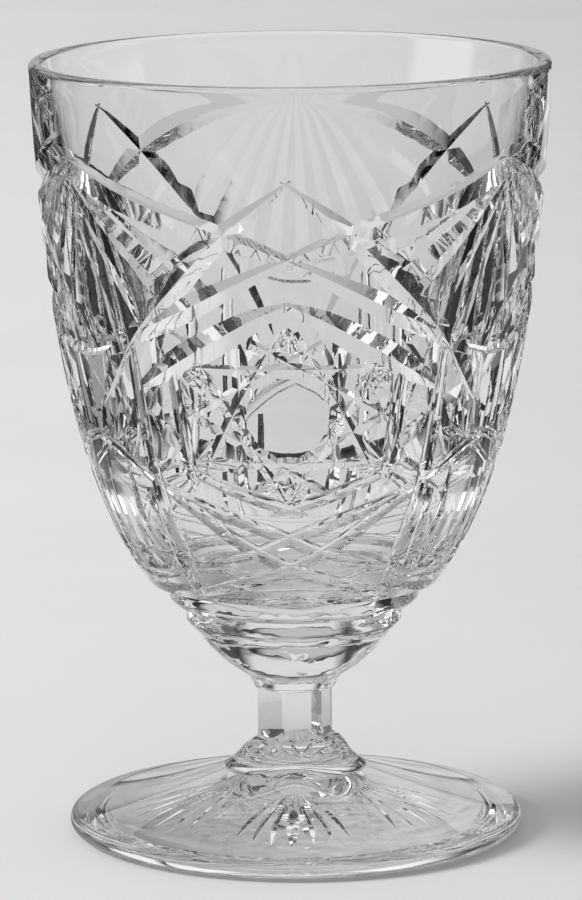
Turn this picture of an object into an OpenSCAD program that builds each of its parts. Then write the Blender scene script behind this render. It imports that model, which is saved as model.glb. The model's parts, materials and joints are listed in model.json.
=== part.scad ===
// Footed tumbler of clear pressed glass: a cut-patterned bowl, a six-sided stem and a rayed round foot.
// The three pieces meet at flat seats, the bowl on the stem and the stem on the foot.
// Angles go round the bowl from the middle of its front panel, which faces -Y.
// Heights on the bowl are measured up from its seat on the stem.

/* [Bowl] */
// Height of the bowl from its seat to the rim
bowl_h = 108; // [100:0.5:118]
// Diameter over the rim
rim_d = 88.4; // [80:0.2:98]
// Thickness of the wall at the mouth
mouth_wall = 2.2; // [1.8:0.1:4]
// Height of the curve's widest point above the rim
swell_rise = 42; // [30:1:60]
// Height above the seat where the curve would close on the axis
swell_close_h = 8; // [4:0.5:12]
// Fullness of the bowl's curve, 2 for an ellipse and more for a squarer bowl
swell_power = 2.8; // [2.4:0.05:3.2]
// Diameter of the round seat on the stem
seat_d = 14.6; // [13:0.1:17]
// Reach of the hollow curve by which the bowl runs into the stem
dome_ease = 1.6; // [1:0.1:3]

/* [Hollow of the bowl] */
// Draft angle of the upper wall inside
cavity_draft = 10; // [6:0.5:12]
// Height above the seat where the inner wall turns into the round bottom
cavity_turn_h = 47; // [42:0.5:54]
// Height of the lowest point inside above the seat
cavity_floor_h = 14; // [11:0.5:20]

/* [Steps under the bowl] */
// Height above the seat where the pattern ends at the upper step
step_top_h = 18.5; // [17:0.1:20]
// Diameter of the upper step
upper_step_d = 43; // [40:0.2:46]
// Diameter of the lower step
lower_step_d = 37.2; // [34:0.2:39]
// Height of each of the two steps
step_h = 4; // [3:0.1:5]
// Width of the bevel under each step
step_bevel = 1; // [0.4:0.1:1.6]

/* [Cut pattern of the bowl] */
// Number of button panels round the bowl, with a fan between each two
panels = 3; // [3]
// Included angle of the mitre cuts
mitre_angle = 125; // [110:1:140]
// Depth of the main mitres at their ends and crossings
main_sink = 0.8; // [0.5:0.05:1.2]
// Depth of the finer crossing mitres
cross_sink = 0.4; // [0.25:0.05:0.7]
// Height of the peak between two fans above the seat
peak_h = 92; // [89:0.5:94]
// Height of the fans' tips above the seat
fan_tip_h = 93.6; // [91:0.5:95]
// Height of the fans' lower corners above the seat
fan_corner_h = 65.5; // [63:0.5:67]
// Number of flutes in each fan
fan_flutes = 10; // [7:1:11]
// Turn from one flute's lower end to the next
fan_step = 8.2; // [6:0.1:8.4]
// Depth of a flute at its lower end
flute_sink = 1.1; // [0.6:0.05:1.2]
// Height of the button's middle above the seat
button_h = 53; // [51:0.5:55]
// Diameter of the button
button_d = 15; // [12:0.5:17]
// Number of cuts that make the star round the button
star_cuts = 12; // [6:2:14]
// Length of a star cut to each side of the button
star_reach = 8; // [5:0.5:9]
// Number of upright cuts under each half fan
fringe_cuts = 3; // [2:1:3]
// Turn from one upright cut to the next
fringe_step = 7.4; // [6:0.2:8]

/* [Stem] */
// Height of the stem from the foot to the bowl
stem_h = 14.8; // [12:0.2:20]
// Width of the stem across its flats
stem_af = 11.4; // [9.5:0.1:12.4]
// Number of flats round the stem
stem_flats = 6; // [6:1:8]
// Turn of the flats from the front
stem_turn = 45; // [0:1:60]
// Diameter of the collar that sits on the foot
collar_d = 24.4; // [20:0.2:28]
// Height of the flare from the collar to the straight flats
flare_h = 5.7; // [4:0.1:7]
// Height of the collar's upright edge
collar_edge = 0.4; // [0.2:0.1:1]
// Distance outside the neck of the point that the flare bends towards
flare_bend_r = 1.4; // [1:0.1:3]
// Height of that point
flare_bend_h = 2.9; // [2:0.1:4]
// Height over which the flare's curve runs out into the neck
flare_fade = 3; // [2:0.1:4]
// Height of the ease from the neck out to the bowl's seat
seat_ease = 1.6; // [1:0.1:3]

/* [Foot] */
// Diameter of the foot
foot_d = 78; // [70:0.5:84]
// Height of the foot at the collar
foot_h = 10.2; // [9:0.1:12]
// Thickness of the foot's rounded edge
edge_t = 3; // [2.4:0.1:3.6]
// Width of the shoulder from the rounded edge to the coned upper face
shoulder_w = 2; // [1:0.1:3]
// Rise of that shoulder
shoulder_rise = 0.2; // [0.1:0.05:0.6]
// Height of the upper face half way in to the collar
foot_mid_h = 5.6; // [5:0.1:6.4]
// Depth of the hollow under the foot at its edge
hollow_depth = 1.2; // [0.6:0.1:1.8]
// Height of that hollow's roof in the middle
roof_h = 5.2; // [4:0.1:6]
// Width of the flat ring that the foot rests on
rest_w = 4.5; // [3:0.25:5]
// Number of ray sprays under the foot
sprays = 6; // [4:1:6]
// Number of rays in each spray
rays = 7; // [3:2:7]
// Turn from one ray of a spray to the next
ray_step = 10; // [8:0.5:12]
// Length of a spray's middle ray
ray_len = 16; // [12:0.5:18]
// Width of that ray
ray_w = 1.8; // [1.2:0.1:2.2]
// Share of its length that each ray loses to the one before it, out from the middle
ray_drop = 0.04; // [0:0.02:0.12]
// Distance of a spray's tip from the axis
spray_tip_r = 13; // [12:0.5:14]

/* [Hidden] */
$fn = 96;
glass = [0.86, 0.9, 0.91, 0.6];

stem_z = foot_h;
bowl_z = foot_h + stem_h;
half_mitre = mitre_angle / 2;
fan_angle = 180 / panels;
lip_r = mouth_wall / 2;
widest_r = rim_d / 2 / swell(swell_rise);
cavity_turn_r = rim_d / 2 - mouth_wall - (bowl_h - cavity_turn_h) * tan(cavity_draft);

// How far a cutter stands out of the surface, and runs past its own ends
cut_clear = 2;
cut_overlap = 0.35;
// Straight steps in the outlines of the bowl, its hollow, the underside and rounded edges
bowl_steps = 9;
cavity_steps = 6;
curve_steps = 6;
// Lower edge of half a fan: turn from the fan's middle, height above the seat
fan_edge = [
    [0, fan_corner_h - 2.7],
    [20, fan_corner_h + 0.3],
    [32, fan_corner_h + 10.3],
    [45, fan_corner_h + 18.2],
    [60, peak_h]
];
// Share of a flute's length that stays uncut at the fan's tip
flute_start = 0.14;
// Shares of a flute's depth at its start and half way down, for inner and for outer flutes
flute_rise = -0.1;
inner_knee = 0.6;
outer_knee = 0.35;
// Turn from the fan's middle past which a flute counts as an outer one
outer_turn = 20;
// Share of a star cut's depth that it has where it runs level round the bowl
level_share = 0.1;
// Crossings of the mitres on half a panel: turn from the panel's middle, height above the seat
fan_corner = [40, fan_corner_h];
gable_cross = [15, fan_corner_h + 17.9];
knot = [38.4, 40.4];
// Paths of cuts, each point with its turn, its height and its share of the cut's depth.
// The framing mitres: gable, the long one from a fan's tip to the far corner, lower chevron, fan's base
gable = [[0, peak_h, 0.6], concat(gable_cross, 1), concat(fan_corner, 1), [fan_angle + 1, 46, 0.6]];
long_mitre = [
    [fan_angle + 0.5, fan_tip_h, 0.6],
    [38, 88.4, 0.9],
    concat(gable_cross, 1),
    [-4, 78.2, 0.5],
    [-22, 71.7, 0.9],
    [-39.6, fan_corner_h - 0.1, 0.8]
];
lower_chevron = [[-2, 72.5, 0.2], [19, 64.7, 1], [40, 56, 0.4]];
fan_base = [concat(fan_corner, 0.5), [fan_angle + 0.2, fan_corner_h - 3.1, 0.5]];
// The finer mitres: two uprights and a slant beside the button, three crosses under it, two under the fan
inner_upright = [[27.5, 61.5, 1.2], [27, 43.2, 1.5]];
outer_upright = [[39.5, 64.5, 1.2], concat(knot, 1.5), [35.5, 20, 1]];
side_slant = [[27.2, 46.3, 0.3], [32, 49.4, 1.4], [38.6, 52.8, 0.3]];
upper_cross = [[28, 43.5, 1], [12, 39.6, 1], [-4, 36.1, 0.5]];
middle_cross = [concat(knot, 1), [16, 34.6, 0.8], [-8, 29.7, 0.8], [-34, 25.2, 0.5]];
lower_cross = [concat(knot, 1), [20, 32.6, 0.8], [0, 25.9, 0.8], [-20, 22.4, 0.8], [-34, 20.2, 0.5]];
fringe_top = [concat(knot, 1), [fan_angle + 0.3, 47.1, 0.8]];
fringe_band = [[36, 24.2, 0.2], [fan_angle + 0.2, 22.3, 0.5]];
// Three leaves that spread from one point above the uprights under a fan
inner_leaf = [[45.6, 44.6, 0], [43.2, 49, 1.5], [40.9, 54.2, 0]];
middle_leaf = [[46.3, 44.8, 0], [46.8, 50.5, 1.6], [47.2, 56.8, 0]];
outer_leaf = [[46.9, 44.5, 0], [49.6, 48.4, 1.4], [52.4, 52.3, 0]];
// Turn of the first upright cut under a fan, and the height and share of depth of its two ends
fringe_turn = 41.5;
fringe_ends = [[38.6, 1.2], [24, 1.5]];
// Height on each side of a point over which the lean of the bowl is taken there
lean_step = 0.5;
// How far the lower step stands out past the dome under it
dome_inset = 2;
// How far the turned neck stands out past the corners of the flats, which end as far under the seat
neck_clear = 0.25;
// Shares of a ray's length where it starts and where it is deepest
ray_start = 0.12;
ray_knee = 0.65;

function unit(v) = v / norm(v);

// Share of the widest radius at a depth under the widest point
function swell(depth) =
    let (reach = bowl_h + swell_rise - swell_close_h)
    pow(1 - pow(depth / reach, swell_power), 1 / swell_power);

// Radius of the uncut bowl at a height, then a point [angle, height] on it and the way out of it
function bowl_r(h) = widest_r * swell(bowl_h + swell_rise - h);
function on_bowl(p) = [bowl_r(p[1]) * sin(p[0]), -bowl_r(p[1]) * cos(p[0]), p[1]];
function outward(p) =
    let (lean = (bowl_r(p[1] + lean_step) - bowl_r(p[1] - lean_step)) / (2 * lean_step))
    unit([sin(p[0]), -cos(p[0]), -lean]);

// Points along a curve from a to c that is drawn towards b
function curve(a, b, c) = [
    for (i = [0:curve_steps])
        let (t = i / curve_steps)
        a * (1 - t) * (1 - t) + b * 2 * t * (1 - t) + c * t * t
];

// Points along a round edge, from one angle to another
function round_edge(centre, r, from, to) = [
    for (i = [0:curve_steps])
        let (q = from + (to - from) * i / curve_steps)
        centre + r * [cos(q), sin(q)]
];

// A straight V cut between two points on the bowl, sunk under each by its own depth
module wedge(from, to, sinks) {
    up = outward((from + to) / 2);
    a = on_bowl(from) - up * sinks[0];
    b = on_bowl(to) - up * sinks[1];
    along = unit(b - a);
    out = unit(up - along * (up * along));
    side = cross(out, along);
    start = b + along * cut_overlap;
    tall = max(sinks) + cut_clear;
    wide = tall * tan(half_mitre);
    multmatrix([
        [side[0], out[0], -along[0], start[0]],
        [side[1], out[1], -along[1], start[1]],
        [side[2], out[2], -along[2], start[2]],
        [0, 0, 0, 1]
    ])
        linear_extrude(height = norm(b - a) + 2 * cut_overlap)
            polygon([[0, 0], [wide, tall], [-wide, tall]]);
}

// A mitre through the points of a path on the bowl, and its mirror image
module mitre(path, sink) {
    for (s = [1, -1], i = [0:len(path) - 2])
        wedge(
            [s * path[i][0], path[i][1]],
            [s * path[i + 1][0], path[i + 1][1]],
            sink * [path[i][2], path[i + 1][2]]
        );
}

// The mitres that frame the panel
module frame_mitres() {
    for (path = [gable, long_mitre, lower_chevron, fan_base])
        mitre(path, main_sink);
}

// The finer mitres beside and under the button, and the leaves and upright cuts under the fan
module lattice_mitres() {
    for (path = [inner_upright, outer_upright, side_slant])
        mitre(path, cross_sink);
    for (path = [upper_cross, middle_cross, lower_cross, fringe_top, fringe_band])
        mitre(path, cross_sink);
    for (path = [inner_leaf, middle_leaf, outer_leaf])
        mitre(path, cross_sink);
    for (i = [0:fringe_cuts - 1]) {
        turn = fringe_turn + i * fringe_step;
        mitre([for (end = fringe_ends) concat(turn, end)], cross_sink);
    }
}

// Straight cuts round the button that leave it standing as a many-sided boss in a star
module button_star() {
    r = bowl_r(button_h);
    for (i = [0:star_cuts - 1]) {
        turn = i * 360 / star_cuts;
        middle = button_d / 2 * [cos(turn), sin(turn)];
        reach = star_reach * [-sin(turn), cos(turn)];
        // Level cuts run off the round bowl by themselves, and upright ones have to be sunk
        sink = cross_sink * (level_share + (1 - level_share) * cos(turn) * cos(turn));
        ends = [
            for (p = [middle + reach, middle - reach])
                [p[0] / r * 180 / PI, button_h + p[1]]
        ];
        wedge(ends[0], ends[1], [sink, sink]);
    }
}

// Flutes that spread down from a fan's tip to its lower edge and deepen on the way
module fan() {
    tip = [fan_angle, fan_tip_h];
    for (i = [-(fan_flutes - 1) / 2:(fan_flutes - 1) / 2]) {
        turn = i * fan_step;
        far = [fan_angle + turn, lookup(abs(turn), fan_edge)];
        near = tip + (far - tip) * flute_start;
        // The outer flutes bend round the bowl, so they are cut in two runs
        knee = (near + far) / 2;
        knee_sink = flute_sink * (abs(turn) > outer_turn ? outer_knee : inner_knee);
        wedge(near, knee, [flute_rise * flute_sink, knee_sink]);
        wedge(knee, far, [knee_sink, flute_sink]);
    }
}

// The bowl before cutting, turned from one outline
module bowl_blank() {
    lip = [rim_d / 2 - lip_r, bowl_h - lip_r];
    dome_top = [lower_step_d / 2 - dome_inset, step_top_h - 2 * step_h - step_bevel];
    rotate_extrude()
        polygon(concat(
            [[0, 0]],
            curve([seat_d / 2, 0], [seat_d / 2 + dome_ease, dome_ease], dome_top),
            [[lower_step_d / 2, step_top_h - 2 * step_h + step_bevel]],
            [[lower_step_d / 2, step_top_h - step_h]],
            [[upper_step_d / 2 - step_bevel, step_top_h - step_h]],
            [[upper_step_d / 2, step_top_h - step_h + step_bevel]],
            [[upper_step_d / 2, step_top_h]],
            [
                for (i = [0:bowl_steps - 1])
                    let (h = step_top_h + (lip[1] - step_top_h) * i / bowl_steps)
                    [bowl_r(h), h]
            ],
            round_edge(lip, lip_r, 0, 180),
            [
                for (i = [0:cavity_steps])
                    let (q = 90 * i / cavity_steps)
                    [cavity_turn_r * cos(q), cavity_turn_h - (cavity_turn_h - cavity_floor_h) * sin(q)]
            ]
        ));
}

module bowl() {
    color(glass)
        translate([0, 0, bowl_z])
            difference() {
                bowl_blank();
                for (p = [0:panels - 1])
                    rotate([0, 0, p * 360 / panels]) {
                        frame_mitres();
                        lattice_mitres();
                        button_star();
                        fan();
                    }
            }
}

// A round flared stem with flats cut down its sides
module stem() {
    neck_r = stem_af / 2 / cos(180 / stem_flats) + neck_clear;
    flare_bend = [neck_r + flare_bend_r, flare_bend_h];
    seat_bend = [neck_r, stem_h - seat_ease / 3];
    color(glass)
        translate([0, 0, stem_z])
            difference() {
                rotate_extrude()
                    polygon(concat(
                        [[0, 0], [collar_d / 2, 0]],
                        curve([collar_d / 2, collar_edge], flare_bend, [neck_r, flare_h + flare_fade]),
                        curve([neck_r, stem_h - seat_ease], seat_bend, [seat_d / 2, stem_h]),
                        [[0, stem_h]]
                    ));
                for (i = [0:stem_flats - 1])
                    rotate([0, 0, stem_turn + i * 360 / stem_flats])
                        stem_flat();
            }
}

// The cutter for one flat: upright in the middle, leaning out at the flare and under the bowl
module stem_flat() {
    flat = stem_af / 2;
    low = 3 * collar_edge;
    high = stem_h - neck_clear;
    translate([0, collar_d / 2, 0])
        rotate([90, 0, 0])
            linear_extrude(height = collar_d)
                polygon([
                    [collar_d / 2 - collar_edge, low],
                    [flat, flare_h],
                    [flat, stem_h - seat_ease / 2],
                    [flat + seat_ease, high],
                    [collar_d, high],
                    [collar_d, low]
                ]);
}

// A straight V cut into the roof under the foot, from one distance to another and depth to depth
module roof_wedge(from, to, sinks) {
    tilt = atan((sinks[1] - sinks[0]) / (to - from));
    tall = max(sinks) + cut_clear;
    wide = tall * tan(half_mitre);
    translate([from, 0, sinks[0]])
        rotate([0, 90 - tilt, 0])
            linear_extrude(height = (to - from) / cos(tilt))
                polygon([[0, 0], [tall, wide], [tall, -wide]]);
}

// One leaf-shaped ray: it deepens to its knee and runs out at its far end
module ray(length) {
    sink = ray_w / 2 / tan(half_mitre);
    near = length * ray_start;
    knee = length * ray_knee;
    roof_wedge(near, knee + cut_overlap, [0, sink]);
    roof_wedge(knee, length, [sink, 0]);
}

// Fall of the roof along a ray that leaves a spray's tip at an angle to the way straight out
function ray_fall(angle, length, slope) =
    atan((norm([spray_tip_r + length * cos(angle), length * sin(angle)]) - spray_tip_r) * slope / length);

module foot() {
    edge = [foot_d / 2 - edge_t / 2, edge_t / 2];
    rest_r = edge[0] - rest_w;
    shoulder = [edge[0] - shoulder_w, edge_t + shoulder_rise];
    middle = [(foot_d + collar_d) / 4, foot_mid_h];
    slope = (roof_h - hollow_depth) / (rest_r - hollow_depth - spray_tip_r);
    color(glass)
        difference() {
            rotate_extrude()
                polygon(concat(
                    [[0, roof_h], [spray_tip_r, roof_h], [rest_r - hollow_depth, hollow_depth], [rest_r, 0]],
                    round_edge(edge, edge_t / 2, -90, 90),
                    curve(shoulder, middle, [collar_d / 2, foot_h]),
                    [[0, foot_h]]
                ));
            for (s = [0:sprays - 1])
                rotate([0, 0, s * 360 / sprays - 90])
                    translate([spray_tip_r, 0, roof_h])
                        for (i = [-(rays - 1) / 2:(rays - 1) / 2]) {
                            length = ray_len * (1 - ray_drop * abs(i));
                            rotate([0, ray_fall(i * ray_step, length, slope), i * ray_step])
                                ray(length);
                        }
        }
}

bowl();
stem();
foot();
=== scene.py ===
"""Looks of a footed tumbler of clear pressed glass, built in the frame of its CAD part.

Settings are in metres and degrees. The meshes are worked out in millimetres, with +Z up and the middle of
the front panel facing -Y, and are scaled to metres when they are made into objects.
"""

import json
import math

import bmesh
import bpy
from bpy.props import FloatProperty, FloatVectorProperty, IntProperty, PointerProperty
from mathutils import Matrix, Vector

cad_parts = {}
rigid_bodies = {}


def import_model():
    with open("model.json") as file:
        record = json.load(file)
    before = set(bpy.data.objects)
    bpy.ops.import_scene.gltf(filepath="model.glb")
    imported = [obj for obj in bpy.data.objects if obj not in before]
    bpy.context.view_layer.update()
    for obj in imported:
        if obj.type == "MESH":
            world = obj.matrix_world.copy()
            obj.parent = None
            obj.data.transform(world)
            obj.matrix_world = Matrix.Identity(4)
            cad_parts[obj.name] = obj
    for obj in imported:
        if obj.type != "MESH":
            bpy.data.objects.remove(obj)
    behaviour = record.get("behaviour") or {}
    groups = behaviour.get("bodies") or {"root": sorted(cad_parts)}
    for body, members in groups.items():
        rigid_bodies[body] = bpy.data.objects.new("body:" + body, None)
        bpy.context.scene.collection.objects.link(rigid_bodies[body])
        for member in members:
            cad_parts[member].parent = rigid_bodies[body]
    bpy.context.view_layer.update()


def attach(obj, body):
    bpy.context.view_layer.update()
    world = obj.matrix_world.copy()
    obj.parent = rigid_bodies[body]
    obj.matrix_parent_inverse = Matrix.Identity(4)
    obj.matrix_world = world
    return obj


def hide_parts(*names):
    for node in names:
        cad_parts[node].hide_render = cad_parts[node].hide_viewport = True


bl_info = {
    "name": "Footed tumbler",
    "version": (1, 0, 0),
    "blender": (4, 5, 0),
    "location": "View3D > Sidebar > Tumbler",
    "description": "Builds a footed tumbler of pressed glass and the studio it stands in",
    "category": "Add Mesh",
}

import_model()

MM = 0.001
PANEL_TURN = 120.0
HALF_PANEL = PANEL_TURN / 2
# The half panel is cut a little wider than it is and trimmed afterwards, so that cuts cross its edges cleanly
SECTOR_MARGIN = 2.5
SEAT_GAP = 0.02
# Faces of a seat lie inside this radius in mm
SEAT_REACH = 13
SHARP_ANGLE = math.radians(14)

# Grooves of half a panel: points of (turn from the panel's middle in degrees, height above the bowl's seat
# in mm, depth as a share of the setting named first), and how many straight runs join each two points.
GROOVES = {
    "gable": (
        "mitre_depth",
        [(-0.5, 92.4, 0.12), (0, 92, 0.2), (14.5, 83.4, 0.9), (27, 74.8, 1.4), (40, 65.5, 1.1), (48, 58, 0.7),
         (55, 51.6, -0.1)],
        4,
    ),
    "long_mitre": (
        "mitre_depth",
        [(66, 93.6, 0.6), (60, 93.6, 1.1), (38, 88.4, 1.05), (15, 83.4, 0.9), (0, 79.4, 0.5), (-10, 76, 0.7),
         (-22, 71.6, 1.05), (-33, 67.9, 1.0), (-41, 65.0, 0.7)],
        4,
    ),
    "lower_chevron": (
        "mitre_depth",
        [(-0.5, 72.2, 0.28), (0, 72, 0.3), (8, 69.4, 0.95), (19, 65.0, 1.25), (28, 61.4, 1.1), (40, 56.4, 0.2)],
        3,
    ),
    "fan_base": (
        "mitre_depth",
        [(36.5, 66.2, -0.1), (40, 65.4, 0.5), (46, 64.2, 0.75), (60, 62.4, 0.8), (68, 63.2, 0.8)],
        3,
    ),
    "inner_upright": (
        "cross_depth",
        [(28.6, 62.5, -0.1), (28.3, 60, 0.9), (27.7, 56, 1.4), (27.2, 50, 1.5), (26.6, 43, 1.3), (26.2, 39, -0.1)],
        3,
    ),
    "outer_upright": (
        "cross_depth",
        [(40, 67, -0.1), (39.8, 63, 1.0), (39.2, 53, 1.4), (38.4, 40.4, 1.5), (36.8, 30, 1.9), (35.4, 19.5, 1.6)],
        3,
    ),
    "upper_cross": (
        "cross_depth",
        [(29, 43.7, 0.8), (12, 39.4, 1.35), (0, 37, 1.2), (-3, 36.3, 0.7), (-6, 35.7, -0.1)],
        4,
    ),
    "middle_cross": (
        "cross_depth",
        [(41, 41.4, 0.8), (26, 37.3, 1.3), (15, 34.9, 1.45), (0, 31.4, 1.45), (-10, 28.7, 1.45), (-22, 26.6, 1.3),
         (-35, 25.2, 0.8)],
        3,
    ),
    "lower_cross": (
        "cross_depth",
        [(39, 40.6, 0.8), (26, 35.5, 1.3), (16, 31.0, 1.45), (0, 25.9, 1.45), (-15, 23.2, 1.45), (-25, 21.6, 1.3),
         (-35, 20.1, 0.8)],
        3,
    ),
    "fringe_top": ("cross_depth", [(37.5, 40.0, 0.9), (50, 44.9, 1.0), (60, 47.1, 0.9), (66, 47.6, 0.8)], 3),
    "fringe_band": ("cross_depth", [(35, 24.4, 0.3), (48, 23.0, 1.0), (60, 22.4, 1.0), (66, 22.5, 1.0)], 3),
    "side_slant": ("cross_depth", [(26.8, 46.2, 0.3), (32, 49.4, 1.7), (39, 53, 0.4)], 3),
    "side_slant_low": ("cross_depth", [(27, 43.2, 0.3), (32, 44.0, 1.2), (38.6, 41.0, 0.4)], 3),
    "leaf_inner": ("cross_depth", [(46.2, 43.6, -0.1), (43.2, 49, 1.5), (40.8, 54.4, -0.1)], 4),
    "leaf_middle": ("cross_depth", [(46.2, 43.6, -0.1), (46.8, 50.5, 1.6), (47.2, 57, -0.1)], 4),
    "leaf_outer": ("cross_depth", [(46.2, 43.6, -0.1), (49.6, 48.4, 1.4), (52.6, 52.6, -0.1)], 4),
    "fringe_1": ("cross_depth", [(42.0, 39.2, 0.9), (42.2, 24.0, 1.5)], 3),
    "fringe_2": ("cross_depth", [(48.6, 42.4, 0.5), (48.7, 23.4, 1.5)], 3),
    "fringe_3": ("cross_depth", [(55.2, 35, -0.1), (55.2, 30, 0.9), (55.2, 23.0, 1.5)], 3),
    "foot_chevron": ("cross_depth", [(-3, 20.9, 0), (0, 20.2, 0.9), (7, 18.9, 1.1), (12, 18, 0.7)], 2),
}

# Grooves with a round bottom, which show as a pair of fine lines
ROUND_GROOVES = {
    "inner_upright", "outer_upright", "upper_cross", "middle_cross", "lower_cross", "fringe_top", "fringe_band",
    "fan_base",
}

# Corners of the star's field: (turn, height), direction of the middle cut clockwise from up in degrees, number of
# cuts, degrees between them, length in mm
STAR_CORNERS = [
    ((0, 68.2), 180, 5, 17, 5.5),
    ((26.4, 61.2), 245, 4, 16, 6.5),
    ((26.0, 44.2), 292, 4, 17, 6.5),
    ((0, 37.6), 0, 5, 20, 5.0),
]

# Glowing cards that only the glass shows, painted reflections of a bright backdrop and of soft boxes: name, turn and
# lift in degrees, then distance, width and height in metres, and brightness, which is a share of the paper's for the
# cards at the back
BACK_CARDS = [
    ("back_low", 185, 6, 1.15, 0.9, 0.36, 0.85),
    ("back_middle", 180, 21, 1.15, 1.1, 0.42, 1.25),
    ("back_high", 180, 40, 1.1, 1.1, 0.5, 0.7),
]
SIDE_CARDS = [
    ("back_left", 225, 30, 1.0, 0.6, 0.6, 1.0),
    ("soft_left", -80, 16, 1.0, 0.8, 0.4, 2.7),
    ("soft_right", 90, 20, 1.0, 0.5, 0.36, 1.5),
]
# Patches of painted light and shade that lie on the paper and only the glass shows: name, place, width and depth in
# metres, and brightness
PAINTED_PATCHES = [
    ("mat_left", -0.125, 0, 0.05, 0.14, 1.25),
    ("mat_right", 0.125, 0, 0.05, 0.14, 1.2),
    ("mat_side_left", -0.31, 0.1, 0.16, 0.28, 0.36),
    ("mat_side_right", 0.31, 0.1, 0.16, 0.28, 0.85),
    ("mat_far_left", -0.195, 0.42, 0.07, 0.34, 1.0),
    ("mat_far_right", 0.195, 0.42, 0.07, 0.34, 1.1),
    ("mat_far_corner", 0.3, 0.85, 0.16, 0.5, 1.1),
]
# Radius of the room and of its paper floor in metres
ROOM_RADIUS = 1.3


def mm(length):
    """A length in millimetres."""
    return length / MM


def lerp(a, b, t):
    """The value a share t of the way from a to b."""
    return a + (b - a) * t


def spline(points, runs):
    """A smooth path through the points, with that many straight runs between each two."""
    ends = [points[0], *points, points[-1]]
    path = []
    for a, b, c, d in zip(ends, ends[1:], ends[2:], ends[3:]):
        for k in range(runs):
            t = k / runs
            path.append(
                tuple(
                    0.5
                    * (
                        2 * b[j]
                        + (c[j] - a[j]) * t
                        + (2 * a[j] - 5 * b[j] + 4 * c[j] - d[j]) * t**2
                        + (3 * b[j] - a[j] - 3 * c[j] + d[j]) * t**3
                    )
                    for j in range(len(b))
                )
            )
    path.append(tuple(points[-1]))
    return path


def bend(a, b, c, steps):
    """Points along a curve from a to c that is drawn towards b."""
    return [
        (
            a[0] * (1 - t) ** 2 + 2 * b[0] * t * (1 - t) + c[0] * t**2,
            a[1] * (1 - t) ** 2 + 2 * b[1] * t * (1 - t) + c[1] * t**2,
        )
        for t in (k / steps for k in range(steps + 1))
    ]


def eased(outline, radius, steps=3):
    """The outline of (radius, height) points with its sharp inner corners rounded."""
    result = [outline[0]]
    for before, corner, after in zip(outline, outline[1:], outline[2:]):
        into = Vector(corner) - Vector(before)
        out = Vector(after) - Vector(corner)
        if into.length < 3 * radius or out.length < 3 * radius or into.angle(out) < math.radians(25):
            result.append(corner)
            continue
        a = Vector(corner) - into.normalized() * radius
        c = Vector(corner) + out.normalized() * radius
        result += bend(a, corner, c, steps)
    return result + [outline[-1]]


def turned(outline, angles):
    """A closed solid turned from an outline that starts and ends on the axis, over the given angles."""
    bm = bmesh.new()
    axis = {k: bm.verts.new((0, 0, z)) for k, (r, z) in enumerate(outline) if r == 0}
    columns = []
    for angle in angles:
        s, c = math.sin(math.radians(angle)), math.cos(math.radians(angle))
        columns.append(
            [axis[k] if r == 0 else bm.verts.new((r * s, -r * c, z)) for k, (r, z) in enumerate(outline)]
        )
    for left, right in zip(columns, columns[1:]):
        for k in range(len(outline) - 1):
            bm.faces.new(dict.fromkeys((left[k], right[k], right[k + 1], left[k + 1])))
    bm.faces.new(columns[0][::-1])
    bm.faces.new(columns[-1])
    bmesh.ops.recalc_face_normals(bm, faces=bm.faces)
    return bm


def groove_section(depth, half_angle, facets, clear):
    """Half-way round the section of a cutter: a V of two facets, or a round hollow of more."""
    half = max(depth, 0.02) * math.tan(math.radians(half_angle))
    if facets == 2:
        tall = depth + clear
        wide = tall * math.tan(math.radians(half_angle))
        return [(-wide, tall), (0, 0), (wide, tall)]
    deep = max(depth, 0.02)
    steep = 2 * math.atan2(deep, half)
    radius = half / math.sin(steep)
    arc = [
        (radius * math.sin(u), radius * (1 - math.cos(u)) + depth - deep)
        for u in (steep * (2 * k / facets - 1) for k in range(facets + 1))
    ]
    wide = half + clear / math.tan(steep)
    return [(-wide, depth + clear), *arc, (wide, depth + clear)]


def groove(points, normals, depths, half_angles, facets=2, clear=1.2):
    """A closed cutter along points of a surface, with its depth and half its angle at each of them."""
    bm = bmesh.new()
    rows = []
    last = len(points) - 1
    for i, (point, normal, depth, half_angle) in enumerate(zip(points, normals, depths, half_angles)):
        along = (points[min(i + 1, last)] - points[max(i - 1, 0)]).normalized()
        side = along.cross(normal).normalized()
        up = side.cross(along)
        rows.append([
            bm.verts.new(point + up * (y - depth) + side * x)
            for x, y in groove_section(depth, half_angle, facets, clear)
        ])
    for a, b in zip(rows, rows[1:]):
        for k in range(len(a)):
            bm.faces.new((a[k - 1], b[k - 1], b[k], a[k]))
    bm.faces.new(rows[0][::-1])
    bm.faces.new(rows[-1])
    bmesh.ops.recalc_face_normals(bm, faces=bm.faces)
    return bm


def link_mesh(bm, name, collection):
    """A new object made of the mesh, which is used up."""
    mesh = bpy.data.meshes.new(name)
    bm.to_mesh(mesh)
    bm.free()
    piece = bpy.data.objects.new(name, mesh)
    collection.objects.link(piece)
    return piece


def carve(blank, cutters):
    """The blank with all the cutters taken out of it. Blank and cutters are used up."""
    root = bpy.context.scene.collection
    tools = bpy.data.collections.new("cutters")
    root.children.link(tools)
    body = link_mesh(blank, "blank", root)
    for k, cutter in enumerate(cutters):
        link_mesh(cutter, f"cutter_{k}", tools)
    cut = body.modifiers.new("cut", "BOOLEAN")
    cut.operation = "DIFFERENCE"
    cut.solver = "MANIFOLD"
    cut.operand_type = "COLLECTION"
    cut.collection = tools
    depsgraph = bpy.context.evaluated_depsgraph_get()
    mesh = bpy.data.meshes.new_from_object(body.evaluated_get(depsgraph))
    result = bmesh.new()
    result.from_mesh(mesh)
    for piece in [body, *tools.objects]:
        bpy.data.meshes.remove(piece.data)
    bpy.data.collections.remove(tools)
    bpy.data.meshes.remove(mesh)
    if not result.faces:
        raise RuntimeError("the cutters left nothing of the blank")
    return result


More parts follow.
